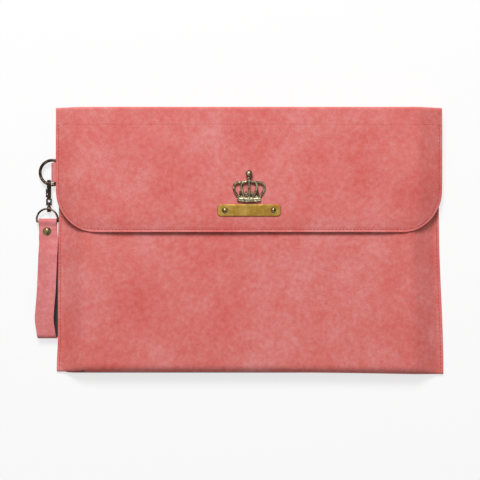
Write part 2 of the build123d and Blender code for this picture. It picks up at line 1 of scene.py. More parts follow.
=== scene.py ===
# %% [markdown]
# A padded envelope sleeve for a laptop, rebuilt around its construction model. The model arrives as
# a fixed frame of separate solids in metres. Metal pieces keep those solids and get a finish, and
# every soft piece is made again here as a surface worked out with numpy.

import bmesh
import bpy
import numpy as np
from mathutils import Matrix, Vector


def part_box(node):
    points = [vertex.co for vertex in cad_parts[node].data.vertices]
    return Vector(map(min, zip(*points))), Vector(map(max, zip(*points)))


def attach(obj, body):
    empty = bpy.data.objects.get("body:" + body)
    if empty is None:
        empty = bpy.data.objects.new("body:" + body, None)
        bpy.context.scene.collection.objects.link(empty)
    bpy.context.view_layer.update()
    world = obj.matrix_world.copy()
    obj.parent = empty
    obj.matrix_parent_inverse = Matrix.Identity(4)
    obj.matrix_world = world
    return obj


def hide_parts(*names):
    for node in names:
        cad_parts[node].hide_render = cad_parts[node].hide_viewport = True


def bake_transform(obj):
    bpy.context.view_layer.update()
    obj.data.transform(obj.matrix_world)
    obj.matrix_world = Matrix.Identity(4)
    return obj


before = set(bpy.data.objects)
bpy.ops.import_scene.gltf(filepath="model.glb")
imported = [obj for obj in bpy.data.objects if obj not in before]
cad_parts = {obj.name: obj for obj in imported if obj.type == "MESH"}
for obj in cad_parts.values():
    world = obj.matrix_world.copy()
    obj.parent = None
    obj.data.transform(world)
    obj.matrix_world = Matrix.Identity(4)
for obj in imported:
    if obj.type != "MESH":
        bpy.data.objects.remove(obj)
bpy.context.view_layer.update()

# %% [markdown]
# The camera looks straight down on the sleeve. It goes in first, because everything that follows is
# looked at through it. A short lens close by would show the sides of the metal pieces, so a long
# lens from high up is used, which keeps the sleeve's outline nearly true.

# %% Camera
MM = 0.001
CAMERA_HEIGHT = 1.2
LENS = 96.8
SENSOR = 36.0
VIEW_CENTRE_X = -8.3 * MM
VIEW_CENTRE_Y = 0.5 * MM

camera = bpy.data.objects.new("camera", bpy.data.cameras.new("camera"))
camera.data.lens = LENS
camera.data.sensor_width = SENSOR
camera.location = (VIEW_CENTRE_X, VIEW_CENTRE_Y, CAMERA_HEIGHT)
bpy.context.collection.objects.link(camera)
bpy.context.scene.camera = camera
print("the camera sees", round(CAMERA_HEIGHT * SENSOR / LENS, 4), "m of the table")

# %% [markdown]
# Every size below comes from the frame: the boxes of the pouch, the flap, the spine strip and the
# strap give the places that the soft surfaces have to meet. Typed numbers would drift away from
# the frame when it changes, so only the small soft shapes are given in millimetres here.

# %% Places read from the frame
pouch_low, pouch_high = (np.array(corner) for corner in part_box("pouch_outer"))
flap_low, flap_high = (np.array(corner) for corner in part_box("flap_outer"))
spine_low, spine_high = (np.array(corner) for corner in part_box("spine_outer"))

POUCH_HALF = pouch_high[0]
POUCH_BOTTOM = pouch_low[1]
POUCH_TOP_Z = pouch_high[2]
CREASE_Y = pouch_high[1]
MOUTH_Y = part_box("mouth_thread")[1][1] + 1.9 * MM
FLAP_HALF = flap_high[0]
FLAP_BOTTOM = flap_low[1]
FLAP_TOP_Z = flap_high[2]
OUTSIDE_Y = spine_high[1]
FLANGE_Z = 2.6 * MM
FLANGE_X = POUCH_HALF - 5 * MM
SHOULDER_X = FLANGE_X - 21 * MM
FLAP_SHOULDER_X = FLAP_HALF - 22 * MM
FLAP_CORNER = 38 * MM
LEATHER = 0.9 * MM
STITCH_INSET = 2.5 * MM
SEAM_INSET = 2.2 * MM
SEAM_X = POUCH_HALF - SEAM_INSET
print("the pouch is", round(2 * POUCH_HALF, 4), "m wide and the flap", round(2 * FLAP_HALF, 4))


# %% [markdown]
# A sheet is a grid of points over two parameters. It could be modelled by hand or bent with
# modifiers, but a formula keeps every border exactly where the next piece begins. One helper turns
# the arrays into a mesh, and others add the wall that a real sheet has, so each shape below is only
# its own formula.

# %% From arrays to meshes
def make_piece(name, points, faces, material):
    """Links a smooth mesh of the points (n, 3) and the faces, a list of arrays of 3 or 4 columns."""
    mesh = bpy.data.meshes.new(name)
    mesh.from_pydata(points.tolist(), [], [row for block in faces for row in block.tolist()])
    mesh.materials.append(material)
    mesh.polygons.foreach_set("use_smooth", np.full(len(mesh.polygons), True))
    mesh.update()
    piece = bpy.data.objects.new(name, mesh)
    bpy.context.collection.objects.link(piece)
    return piece


def grid_faces(rows, columns, closed=False):
    """The four-sided faces of a grid of rows by columns; closed joins its last row to its first."""
    row = np.arange(rows if closed else rows - 1)[:, None]
    column = np.arange(columns - 1)[None, :]
    here = row * columns + column
    above = ((row + 1) % rows) * columns + column
    return np.stack([here, here + 1, above + 1, above], -1).reshape(-1, 4)


def thicken(piece, thickness, rim):
    """Gives a sheet its wall on the side away from its normals, and rounds the wall's edges."""
    wall = piece.modifiers.new("wall", "SOLIDIFY")
    wall.thickness = thickness
    wall.offset = -1
    edge = piece.modifiers.new("edge", "BEVEL")
    edge.width = rim
    edge.segments = 2
    edge.limit_method = "ANGLE"
    edge.angle_limit = 1.0


def unit(vectors):
    """Vectors brought to length one."""
    return vectors / np.maximum(np.linalg.norm(vectors, axis=-1, keepdims=True), 1e-12)


def sheet_shell(points, thickness, free_start=True, free_end=True):
    """A sheet's outer face as points (rows, columns, 3), made into a closed wall with round sides.

    Each row becomes a ring: across the outer face, round one side on half a circle, back across the
    inner face (outer minus normal times thickness) and round the other side. A free end is closed
    with one more bulging row. An end that meets another sheet is closed with flat faces, so that the
    shading runs on over the join. It returns the points, the faces with the flat ones last, and how
    many of them are flat.
    """
    along = np.gradient(points, axis=0)
    across = np.gradient(points, axis=1)
    normal = unit(np.cross(across, along))
    outer, inner = points, points - normal * thickness
    turn = np.radians([45, 90, 135])

    def side(edge, outward):
        middle = (outer[:, edge] + inner[:, edge]) / 2
        upward = normal[:, edge][:, None] * np.cos(turn)[:, None]
        sideways = unit(outward)[:, None] * np.sin(turn)[:, None] * 0.6
        return middle[:, None] + (upward + sideways) * thickness / 2

    right = side(-1, across[:, -1])
    left = side(0, -across[:, 0])[:, ::-1]
    ring = np.concatenate([outer, right, inner[:, ::-1], left], 1)
    rows, around = ring.shape[:2]
    index = np.arange(rows * around).reshape(rows, around)
    after = np.roll(index, -1, axis=1)
    faces = [np.stack([index[:-1], after[:-1], after[1:], index[1:]], -1).reshape(-1, 4)]
    parts, count = [ring.reshape(-1, 3)], rows * around
    half = points.shape[1] + 4
    first = np.roll(np.arange(around), 2)[:half]
    other = np.arange(around - 1 - half, around - 1)[::-1]
    flat = []
    for row, free, outward in ((0, free_start, -along[0]), (-1, free_end, along[-1])):
        lanes = [index[row][first], index[row][other]]
        if free:
            middle = (ring[row][first] + ring[row][other])[1:-1] / 2
            parts.append(middle + unit(outward).mean(0) * thickness * 0.3)
            bulge = count + np.arange(half - 2)
            lanes.insert(1, np.concatenate([lanes[0][:1], bulge, lanes[0][-1:]]))
            count += half - 2
        for one, two in zip(lanes, lanes[1:]):
            quads = np.stack([one[1:-2], one[2:-1], two[2:-1], two[1:-2]], -1)
            tips = np.array([[one[0], one[1], two[1]], [one[-2], one[-1], two[-2]]])
            (faces if free else flat).extend(cap if row == -1 else cap[:, ::-1] for cap in (quads, tips))
    return np.concatenate(parts), faces + flat, sum(len(block) for block in flat)


def spread(low, high, count, gather=0.6):
    """Values from low to high that gather at both ends: a line mixed with half a cosine wave."""
    line = np.linspace(0, 1, count)
    wave = (1 - np.cos(np.pi * line)) / 2
    return low + (high - low) * (line * (1 - gather) + wave * gather)


def waves(x, y, seed):
    """Slow rises and falls of a soft sheet: four sine waves in different directions, from -1 to 1."""
    turns = np.array([[22, 46], [-38, 28], [62, 18], [14, -74]]) * 1.0
    phases = np.random.default_rng(seed).uniform(0, 2 * np.pi, 4)
    return sum(np.sin(a * x + b * y + phase) for (a, b), phase in zip(turns, phases)) / 4


print("a grid of 3 by 4 points has", len(grid_faces(3, 4)), "faces")


# %% [markdown]
# The sleeve is a brushed suede-like sheet. Its colour is not flat: a slow cloudiness a few
# centimetres wide, a mottle of a few millimetres and a fine nap lie on top of each other. A painted
# image would need an unwrapped surface, so each layer is a noise at its own scale on the object's
# own coordinates, and a colour ramp keeps the mix inside the few tones that the sheet has.

# %% Suede
def rgb(red, green, blue):
    """A screen colour, 0 to 255, as the linear colour that a shader takes."""
    value = np.array([red, green, blue]) / 255
    linear = np.where(value <= 0.04045, value / 12.92, ((value + 0.055) / 1.055) ** 2.4)
    return (*linear.tolist(), 1.0)


def new_material(name, roughness, metallic=0.0):
    """A material with its nodes, its links and its Principled shader."""
    material = bpy.data.materials.new(name)
    material.use_nodes = True
    nodes, links = material.node_tree.nodes, material.node_tree.links
    shader = nodes["Principled BSDF"]
    shader.inputs["Roughness"].default_value = roughness
    shader.inputs["Metallic"].default_value = metallic
    return material, nodes, links, shader


def noise_node(nodes, links, place, scale, detail=2.0, roughness=0.5):
    """Noise on the place given; scale is in waves for each metre."""
    node = nodes.new("ShaderNodeTexNoise")
    node.inputs["Scale"].default_value = scale
    node.inputs["Detail"].default_value = detail
    node.inputs["Roughness"].default_value = roughness
    links.new(place, node.inputs["Vector"])
    return node.outputs["Fac"]


def mix_values(nodes, links, first, second, share):
    """first and second mixed by a fixed share of second."""
    node = nodes.new("ShaderNodeMix")
    node.inputs["Factor"].default_value = share
    links.new(first, node.inputs["A"])
    links.new(second, node.inputs["B"])
    return node.outputs["Result"]


def ramp(nodes, links, value, stops):
    """A colour ramp over (place, colour) stops."""
    node = nodes.new("ShaderNodeValToRGB")
    for _ in stops[2:]:
        node.color_ramp.elements.new(0.5)
    for element, (place, colour) in zip(node.color_ramp.elements, stops):
        element.position = place
        element.color = colour
    links.new(value, node.inputs["Fac"])
    return node.outputs["Color"]


def bump(nodes, links, shader, value, strength, distance):
    """Lets a value raise the surface by up to distance."""
    node = nodes.new("ShaderNodeBump")
    node.inputs["Strength"].default_value = strength
    node.inputs["Distance"].default_value = distance
    links.new(value, node.inputs["Height"])
    links.new(node.outputs["Normal"], shader.inputs["Normal"])


def suede(name, tones):
    """Mottled suede from its dark, middle and light tones."""
    material, nodes, links, shader = new_material(name, 0.88)
    place = nodes.new("ShaderNodeTexCoord").outputs["Object"]
    cloud = noise_node(nodes, links, place, 28, 3.0)
    mottle = noise_node(nodes, links, place, 230, 5.0, 0.68)
    nap = noise_node(nodes, links, place, 1500, 3.0, 0.6)
    tone = mix_values(nodes, links, cloud, mottle, 0.55)
    tone = mix_values(nodes, links, tone, nap, 0.30)
    dark, middle, light = tones
    stops = [(0.34, dark), (0.49, middle), (0.64, light)]
    links.new(ramp(nodes, links, tone, stops), shader.inputs["Base Color"])
    shader.inputs["Specular IOR Level"].default_value = 0.25
    shader.inputs["Sheen Weight"].default_value = 0.12
    shader.inputs["Sheen Roughness"].default_value = 0.5
    relief = mix_values(nodes, links, mottle, nap, 0.5)
    bump(nodes, links, shader, relief, 0.35, 0.35 * MM)
    return material


coral = suede("coral_leather", [rgb(209, 88, 82), rgb(218, 115, 109), rgb(226, 144, 141)])
strap_coral = suede("strap_leather", [rgb(200, 100, 99), rgb(217, 126, 126), rgb(232, 150, 151)])
print("made", coral.name, "and", strap_coral.name)


# %% [markdown]
# The hidden faces are simpler: a brushed lining with a fine nap, a black bonded backing with a
# faint grain, foam, board and thread. One function makes them all, because they differ only in their
# two tones and in how coarse the grain is, and each still has some variation of tone and relief.

# %% Lining, backing, foam, board and thread
def cloth(name, dark, light, scale, roughness=0.9, relief=0.12 * MM, sheen=0.2):
    """A plain soft finish: one noise gives both its two tones and its relief."""
    material, nodes, links, shader = new_material(name, roughness)
    place = nodes.new("ShaderNodeTexCoord").outputs["Object"]
    grain = noise_node(nodes, links, place, scale, 4.0, 0.65)
    links.new(ramp(nodes, links, grain, [(0.35, dark), (0.65, light)]), shader.inputs["Base Color"])
    shader.inputs["Sheen Weight"].default_value = sheen
    bump(nodes, links, shader, grain, 0.4, relief)
    return material


lining_cloth = cloth("lining_fabric", rgb(96, 36, 38), rgb(128, 56, 56), 1400)
backing = cloth("black_backing", rgb(14, 13, 14), rgb(34, 32, 33), 1100, 0.7, sheen=0.05)
foam_grey = cloth("foam", rgb(205, 202, 196), rgb(228, 225, 219), 2200)
board_brown = cloth("board", rgb(150, 120, 88), rgb(178, 146, 110), 900, sheen=0.0)
thread_coral = cloth("thread", rgb(168, 52, 60), rgb(200, 84, 88), 3000, 0.75)
soft_finishes = (lining_cloth, backing, foam_grey, board_brown, thread_coral)
print("made", ", ".join(material.name for material in soft_finishes))


# %% [markdown]
# The hardware is plated zinc. Antique brass is a dark coat that is rubbed away where hands and the
# polishing wheel reach. One even colour would look like paint, so a noise moves between the dark coat
# and the bare metal, and it also drives the roughness, because the bright places are the smoother
# ones. The frame's own metal pieces take these finishes as they are.

# %% Metals
def worn_metal(name, dark, light, scale, edges=(0.42, 0.62), gloss=(0.42, 0.24)):
    """Plated metal with a coat rubbed through in places: noise drives colour and roughness."""
    material, nodes, links, shader = new_material(name, gloss[0], 1.0)
    place = nodes.new("ShaderNodeTexCoord").outputs["Object"]
    wear = noise_node(nodes, links, place, scale, 6.0, 0.7)
    links.new(ramp(nodes, links, wear, [(edges[0], dark), (edges[1], light)]), shader.inputs["Base Color"])
    grey = [(edges[0], (gloss[0],) * 3 + (1,)), (edges[1], (gloss[1],) * 3 + (1,))]
    links.new(ramp(nodes, links, wear, grey), shader.inputs["Roughness"])
    fine = noise_node(nodes, links, place, scale * 6, 3.0)
    bump(nodes, links, shader, fine, 0.15, 0.05 * MM)
    return material


charm_brass = worn_metal("antique_brass", rgb(66, 60, 44), rgb(176, 166, 134), 420, (0.42, 0.66))
plate_brass = worn_metal("plate_brass", rgb(124, 94, 38), rgb(150, 122, 62), 120, gloss=(0.42, 0.32))
# Painted shade: this darker brass goes on the plate's rounded rim and stands in for the rim's darker
# reflection and the shadow beside it.
plate_edge_painted_shade = worn_metal("plate_edge_painted_shade", rgb(96, 62, 26), rgb(160, 112, 52), 300)
ring_brass = worn_metal("ring_brass", rgb(40, 30, 26), rgb(150, 128, 104), 170, (0.48, 0.68))
rivet_brass = worn_metal("rivet_brass", rgb(58, 48, 32), rgb(150, 132, 92), 320, (0.4, 0.7), (0.34, 0.2))
hook_bronze = worn_metal("hook_metal", rgb(34, 26, 24), rgb(108, 88, 76), 300, (0.48, 0.72), (0.4, 0.28))
snap_steel = worn_metal("snap_metal", rgb(128, 127, 124), rgb(168, 166, 162), 300)
magnet_grey = worn_metal("magnet", rgb(92, 92, 96), rgb(128, 128, 132), 300)

node_finish = {
    "crown_charm": charm_brass,
    "crown_caps": charm_brass,
    "name_plate": plate_brass,
    "plate_rivets": rivet_brass,
    "plate_rivet_backs": rivet_brass,
    "strap_rivet": rivet_brass,
    "strap_rivet_back": rivet_brass,
    "seam_ring": ring_brass,
    "strap_ring": ring_brass,
    "hook_body": hook_bronze,
    "hook_gate": hook_bronze,
    "gate_pin": hook_bronze,
    "gate_spring": hook_bronze,
    "swivel": hook_bronze,
    "snap_sockets": snap_steel,
    "snap_studs": snap_steel,
    "snap_socket_washers": snap_steel,
    "snap_stud_washers": snap_steel,
    "snap_magnets": magnet_grey,
    "front_foam": foam_grey,
    "back_foam": foam_grey,
    "flap_board": board_brown,
    "spine_board": board_brown,
    "pouch_lining": lining_cloth,
    "spine_lining": lining_cloth,
    "flap_lining": lining_cloth,
}
for node, material in node_finish.items():
    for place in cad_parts[node].material_slots:
        place.material = material
print("finished", len(node_finish), "pieces of the frame")

# %% [markdown]
# The pouch is one sheet over foam. Across the sleeve its front is a padded plateau that falls to a
# thin sewn edge, and the flap follows it. A cloth simulation could settle the sheets, but it would
# never meet the frame's boxes exactly, so each height is a formula with softened corners.

# %% Heights across the sleeve
ACROSS = spread(-1, 1, 201, 0.75)


def smooth(value):
    """0 to 1 with level ends: three squares less two cubes."""
    value = np.clip(value, 0, 1)
    return value * value * (3 - 2 * value)


def soft_step(distance, width):
    """A ramp that starts softly: zero, then the distance itself (width times log(1 + e^(d / width)))."""
    return width * np.logaddexp(0, distance / width)


def front_height(x):
    """The pouch's front: a plateau, a straight slope with soft ends, and the thin sewn edge."""
    fall = soft_step(np.abs(x) - SHOULDER_X, 1.6 * MM) - soft_step(np.abs(x) - FLANGE_X, 0.6 * MM)
    return POUCH_TOP_Z - (POUCH_TOP_Z - FLANGE_Z) / (FLANGE_X - SHOULDER_X) * fall


FLAP_SLOPE = 0.4875
EDGE_SAG = 0.9 * MM
CORNER_SAG = 3.4 * MM


def flap_height(x, y=1.0):
    """The flap's face: level, sloping at each side, and settled along its edge and at its corners."""
    slope = FLAP_SLOPE * soft_step(np.abs(x) - FLAP_SHOULDER_X, 1.45 * MM)
    edge_sag = EDGE_SAG * smooth((FLAP_BOTTOM + 15 * MM - y) / (15 * MM))
    corner = smooth((np.abs(x) - FLAP_HALF + 62 * MM) / (55 * MM))
    corner = corner * smooth((FLAP_BOTTOM + 52 * MM - y) / (50 * MM))
    return FLAP_TOP_Z - slope - edge_sag - CORNER_SAG * corner


print("the flap's face is", round(float(FLAP_TOP_Z), 4), "m up and its edge", round(EDGE_SAG, 4), "lower")


# %% [markdown]
# Two small effects make a sewn sleeve look soft. A row of stitches pulls a shallow groove into the
# padding, and a pouch that lies flat spreads a little towards its bottom corners. Both are added to
# the plain shape as smooth offsets, which is easier to steer than sculpting.

# %% Grooves and settling
def groove(distance):
    """The dip that a tight row of stitches pulls into a soft sheet: a bell curve."""
    return 0.32 * MM * np.exp(-((distance / (1.1 * MM)) ** 2))


def settled(points):
    """Points moved sideways and down by smooth shares: more near the bottom, and more on one side."""
    x, y, z = np.moveaxis(points, -1, 0)
    share = x / POUCH_HALF
    low = smooth((20 * MM - y) / (140 * MM))
    left_low = 1.1 * MM * smooth((40 * MM - y) / (50 * MM))
    left_low = left_low + 1.0 * MM * smooth((-90 * MM - y) / (30 * MM))
    right = np.clip(share, 0, 1) ** 2
    left = np.clip(-share, 0, 1) ** 2
    lift = 1.3 * MM - 2.4 * MM * right
    return np.stack([x + low * 4.2 * MM * right - left_low * left, y + low * lift, z], -1)


print("a groove is", round(float(groove(0)), 5), "m deep")

# %% [markdown]
# The pouch runs down the back, turns through a soft fold at the bottom and comes up the front to the
# mouth. Three surfaces joined later would show their joins in the suede, so it is one grid: a point
# needs only its share across and its place along that way.

# %% Pouch
BACK_SPLIT_Y = CREASE_Y - 5.4 * MM
FOLD_RADIUS = 8 * MM


def pouch_points():
    """Back, fold and front: the fold is half an ellipse as high as the front is at that place."""
    x = (ACROSS * POUCH_HALF)[None, :]
    high = front_height(x)
    reach = FOLD_RADIUS * np.sqrt(high / POUCH_TOP_Z)
    share = np.linspace(0, 1, 24)[:, None]
    back_y = BACK_SPLIT_Y + (POUCH_BOTTOM + reach - BACK_SPLIT_Y) * share
    turn = np.linspace(-np.pi / 2, np.pi / 2, 22)[1:-1, None]
    fold_y = POUCH_BOTTOM + reach * (1 - np.cos(turn))
    fold_z = high * (1 + np.sin(turn)) / 2
    share = np.linspace(0, 1, 130)[:, None]
    front_y = POUCH_BOTTOM + reach + (MOUTH_Y - POUCH_BOTTOM - reach) * share
    soft = waves(x, front_y, 4) * 0.45 * MM * smooth((POUCH_HALF - np.abs(x)) / (30 * MM))
    soft = soft * smooth((front_y - POUCH_BOTTOM) / (40 * MM))
    seam_dip = groove(np.abs(x) - SEAM_X)
    mouth_dip = groove(front_y - MOUTH_Y + SEAM_INSET) * (high > 12 * MM)
    y = np.concatenate([back_y, fold_y, front_y])
    z = np.concatenate([seam_dip + 0 * back_y, fold_z, high + soft - seam_dip - mouth_dip])
    return settled(np.stack([np.broadcast_to(x, y.shape), y, z], -1))


def sheet_piece(name, points, material, thickness, free_start=True, free_end=True):
    """A grid of points as a piece with a wall and round free edges."""
    corners, faces, flat = sheet_shell(points, thickness, free_start, free_end)
    piece = make_piece(name, corners, faces, material)
    for face in piece.data.polygons[len(piece.data.polygons) - flat :]:
        face.use_smooth = False
    return piece


pouch_leather = sheet_piece("pouch_leather", pouch_points(), coral, LEATHER, free_start=False)
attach(pouch_leather, "root")
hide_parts("pouch_outer")
print("the pouch has", len(pouch_leather.data.polygons), "faces")

# %% [markdown]
# The flap is cut wide, with two large round corners. A plain grid trimmed at the corners would have
# a stepped edge, so near the bottom each row of points is only as long as the corner's circle allows,
# and the outline stays exact.

# %% Flap
FLAP_SPLIT_Y = CREASE_Y - 15.4 * MM


def flap_points(depth, inset, top_y):
    """A sheet of the flap, depth below its face: each row ends on the side or the corner's circle."""
    radius = FLAP_CORNER - inset
    low = FLAP_BOTTOM + inset
    turn = np.linspace(0, np.pi / 2, 60)
    corner_y = low + radius * (1 - np.cos(turn))
    corner_half = FLAP_HALF - inset - radius + radius * np.sin(turn)
    straight_y = np.linspace(low + radius, top_y, 90)[1:]
    y = np.concatenate([corner_y, straight_y])[:, None]
    half = np.concatenate([corner_half, np.full(89, FLAP_HALF - inset)])[:, None]
    x = ACROSS[None, :] * half
    edge = half - np.abs(x)
    low_edge = y - low
    soft = waves(x, y, 9) * 0.4 * MM * smooth(edge / (25 * MM)) * smooth(low_edge / (15 * MM))
    soft = soft * smooth((FLAP_SPLIT_Y - y) / (20 * MM))
    round_edge = np.minimum(edge + 0 * y, low_edge + 0 * x)
    dip = groove(round_edge + inset - STITCH_INSET) * smooth((FLAP_SPLIT_Y + 10 * MM - y) / (10 * MM))
    z = flap_height(x, y) - depth + soft - dip * (depth == 0)
    return np.stack([x, y + 0 * x, z], -1)


BOARDED = 1.8 * MM
LINING = 0.4 * MM
outer_grid = flap_points(0, 0, FLAP_SPLIT_Y)
flap_leather = sheet_piece("flap_leather", outer_grid, coral, BOARDED, free_end=False)
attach(flap_leather, "flap")
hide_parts("flap_outer", "flap_board")

lining_grid = flap_points(BOARDED, 1.2 * MM, FLAP_SPLIT_Y)
flap_lining = sheet_piece("flap_lining_sheet", lining_grid, lining_cloth, LINING, free_end=False)
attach(flap_lining, "flap")
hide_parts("flap_lining")
print("the flap has", len(flap_leather.data.polygons), "faces")

# %% [markdown]
# Between the flap and the back lies a narrow spine with a crease along each side. Rigid sheets that
# only touch there would gape when the flap opens. So each crease is a strip of its own, and it
# shares its border points with the sheets that it meets.

# %% Creases
def crease_points(upper, depth, back_depth):
    """A crease strip, depth inside the outer face: level run, quarter turn, then half of the spine."""
    radius = max(2.6 * MM - depth, 0.5 * MM)
    wall_y = OUTSIDE_Y - depth
    half = FLAP_HALF if upper else POUCH_HALF
    middle_half = (FLAP_HALF + POUCH_HALF) / 2
    turn = np.linspace(0, np.pi / 2, 14)[:, None]
    share = np.linspace(0, 1, 10)[:, None]
    level = np.linspace(0, 1, 30 if upper else 12)[:, None]
    level_and_turn = np.full((len(level) + len(turn) - 1, 1), half)
    x = ACROSS[None, :] * np.concatenate([level_and_turn, half + (middle_half - half) * share[1:]])
    top = flap_height(ACROSS[None, :] * FLAP_HALF)
    middle = top / 2
    if upper:
        start, outer = FLAP_SPLIT_Y, top - depth
        turn_z = outer - radius * (1 - np.cos(turn))
        wall_z = outer - radius + (middle - outer + radius) * share
    else:
        start, outer = BACK_SPLIT_Y, back_depth + 0 * top
        turn_z = outer + radius * (1 - np.cos(turn))
        wall_z = outer + radius + (middle - outer - radius) * share
    level_y = start + (wall_y - radius - start) * level + 0 * top
    turn_y = wall_y - radius + radius * np.sin(turn) + 0 * top
    y = np.concatenate([level_y, turn_y[1:], wall_y + 0 * wall_z[1:]])
    z = np.concatenate([outer + 0 * level, turn_z[1:], wall_z[1:]])
    points = np.stack([x, y, z], -1)
    return points if upper else points[::-1]


BACK_STACK = 2.35 * MM
layer_finish = {
    "leather": (coral, "spine_outer", "coral_leather"),
    "lining": (lining_cloth, "spine_lining", "lining_fabric"),
}
creases = [
    ("leather", "upper", 0.0, 0.0, LEATHER),
    ("leather", "lower", 0.0, 0.0, LEATHER),
    ("lining", "upper", BOARDED, 0.0, LINING),
    ("lining", "lower", BOARDED, BACK_STACK, 0.3 * MM),
]
for layer, place, depth, back_depth, wall in creases:
    material, node, slot = layer_finish[layer]
    points = crease_points(place == "upper", depth, back_depth)
    strip = sheet_piece(f"{layer}_{place}_crease", points, material, wall, False, False)
    if place == "upper":
        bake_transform(strip)
    else:
        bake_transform(strip)
    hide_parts(node)
print("made", len(creases), "crease strips")

# %% [markdown]
# Stitches are real threads: short rounded bars half sunk in the row's groove. A pattern in the
# material would lie flat on the suede and catch no light. So one small bar is worked out once and
# copied along a path by turning it to the path's direction.

# %% Stitches
STITCH_PITCH = 3.3 * MM
STITCH_LENGTH = 2.5 * MM
SUNK = 0.28 * MM


def stitch_bar():
    """A rounded bar along its own first axis: rings whose radius follows half an ellipse."""
    rings, sides = 7, 6
    along = np.linspace(-1, 1, rings)
    around = np.linspace(0, 2 * np.pi, sides + 1)[:-1]
    radius = np.sqrt(1 - along**2 * 0.9) * 0.36 * MM
    x = (along * STITCH_LENGTH / 2)[:, None] + 0 * around[None, :]
    y = radius[:, None] * np.cos(around)
    z = radius[:, None] * np.sin(around) * 0.8
    index = np.arange(rings * sides).reshape(rings, sides)
    after = np.roll(index, -1, axis=1)
    walls = np.stack([index[:-1], after[:-1], after[1:], index[1:]], -1).reshape(-1, 4)
    end = np.array([[0, 1, 2, 3], [0, 3, 4, 5]])
    return np.stack([x, y, z], -1).reshape(-1, 3), np.concatenate([walls, end[:, ::-1], index[-1, 0] + end])


def stitch_row(name, centres, directions, normals):
    """Stitch bars at the centres, each along its direction, with its third axis on the normal."""
    bar, faces = stitch_bar()
    directions = unit(directions)
    side = unit(np.cross(normals, directions))
    axes = np.stack([directions, side, np.cross(directions, side)], 1)
    points = centres[:, None, :] + np.einsum("pk,nkc->npc", bar, axes)
    blocks = faces[None] + (np.arange(len(centres)) * len(bar))[:, None, None]
    piece = make_piece(name, points.reshape(-1, 3), [blocks.reshape(-1, 4)], thread_coral)
    return piece


def even_places(path, pitch):
    """Places along a dense path at an even pitch, and the path's direction at each."""
    steps = np.linalg.norm(np.diff(path, axis=0), axis=1)
    length = np.concatenate([[0], np.cumsum(steps)])
    at = np.arange(pitch / 2, length[-1], pitch)

    def along(distance):
        return np.stack([np.interp(distance, length, path[:, axis]) for axis in range(3)], 1)

    return along(at), along(at + 0.2 * MM) - along(at - 0.2 * MM)


def flap_row_path(top_y):
    """The flap's stitch line from its left top, round both corners, to its right top."""
    radius = FLAP_CORNER - STITCH_INSET
    half = FLAP_HALF - STITCH_INSET
    low = FLAP_BOTTOM + STITCH_INSET
    side_y = np.linspace(top_y, low + radius, 200)
    turn = np.linspace(0, np.pi / 2, 80)
    corner_x = half - radius + radius * np.cos(turn)
    corner_y = low + radius - radius * np.sin(turn)
    bottom_x = np.linspace(-half + radius, half - radius, 300)
    x = np.concatenate([np.full(200, -half), -corner_x, bottom_x, corner_x[::-1], np.full(200, half)])
    y = np.concatenate([side_y, corner_y, np.full(300, low), corner_y[::-1], side_y[::-1]])
    return np.stack([x, y, flap_height(x, y) - 0.24 * MM], 1)


def flap_normals(places):
    """The flap's upward normal: one, less its height's slopes along x and y."""
    x, y = places[:, 0], places[:, 1]
    step = 0.1 * MM
    slope_x = (flap_height(x + step, y) - flap_height(x - step, y)) / (2 * step)
    slope_y = (flap_height(x, y + step) - flap_height(x, y - step)) / (2 * step)
    return np.stack([-slope_x, -slope_y, 1 + 0 * slope_x], 1)


places, directions = even_places(flap_row_path(OUTSIDE_Y - 5 * MM), STITCH_PITCH)
normals = flap_normals(places)
on_flap = places[:, 1] < FLAP_SPLIT_Y - 2 * MM
flap_stitches = stitch_row("flap_stitches", places[on_flap], directions[on_flap], normals[on_flap])
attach(flap_stitches, "flap")
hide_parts("flap_thread")
near = ~on_flap
near_crease = stitch_row("flap_stitches_at_crease", places[near], directions[near], normals[near])
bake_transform(near_crease)

seam_y = np.arange(POUCH_BOTTOM + 3.2 * MM, MOUTH_Y - 3 * MM, STITCH_PITCH)
seam_rows = []
for side in (-1, 1):
    for height, up in ((FLANGE_Z - SUNK, 1), (SUNK, -1)):
        seam_rows.append((side * SEAM_X + 0 * seam_y, seam_y, height + 0 * seam_y, up + 0 * seam_y))
seam = np.concatenate([np.stack(row, 1) for row in seam_rows])
zero = np.zeros(len(seam))
seam_stitches = stitch_row(
    "seam_stitches",
    settled(seam[:, :3]),
    np.stack([zero, zero + 1, zero], 1),
    np.stack([zero, zero, seam[:, 3]], 1),
)
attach(seam_stitches, "root")
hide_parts("seam_threads")

mouth_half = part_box("mouth_thread")[1][0]
mouth_x = np.arange(-mouth_half, mouth_half, STITCH_PITCH)
zero = np.zeros(len(mouth_x))
mouth_stitches = stitch_row(
    "mouth_stitches",
    np.stack([mouth_x, zero + MOUTH_Y - SEAM_INSET, zero + POUCH_TOP_Z - SUNK], 1),
    np.stack([zero + 1, zero, zero], 1),
    np.stack([zero, zero, zero + 1], 1),
)
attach(mouth_stitches, "root")
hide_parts("mouth_thread")
print("sewn", len(places) + len(seam) + len(mouth_x), "stitches")

# %% [markdown]
# The wrist strap is a strip folded on itself: round the ring's bar, pinched by a rivet, then down to
# a soft fold and back. Its front leg wanders a little to the left of the back leg, and there the
# black backing inside the loop shows. Two straight slabs could never show that, so the strip is one
# closed path through all four stretches, and the backing is the same path a little further inside.

# %% Wrist strap
strap_low, strap_high = (np.array(corner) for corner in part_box("strap_outer"))
BAR_RADIUS = 2.8 * MM
BAR_Y = strap_high[1] - BAR_RADIUS
CHAIN_Z = (strap_low[2] + strap_high[2]) / 2
STRAP_X = (strap_low[0] + strap_high[0]) / 2
LOOP_RADIUS = 4.0 * MM
FOLD_Y = strap_low[1] + LOOP_RADIUS
RIVET_Y = (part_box("strap_rivet")[0][1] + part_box("strap_rivet")[1][1]) / 2


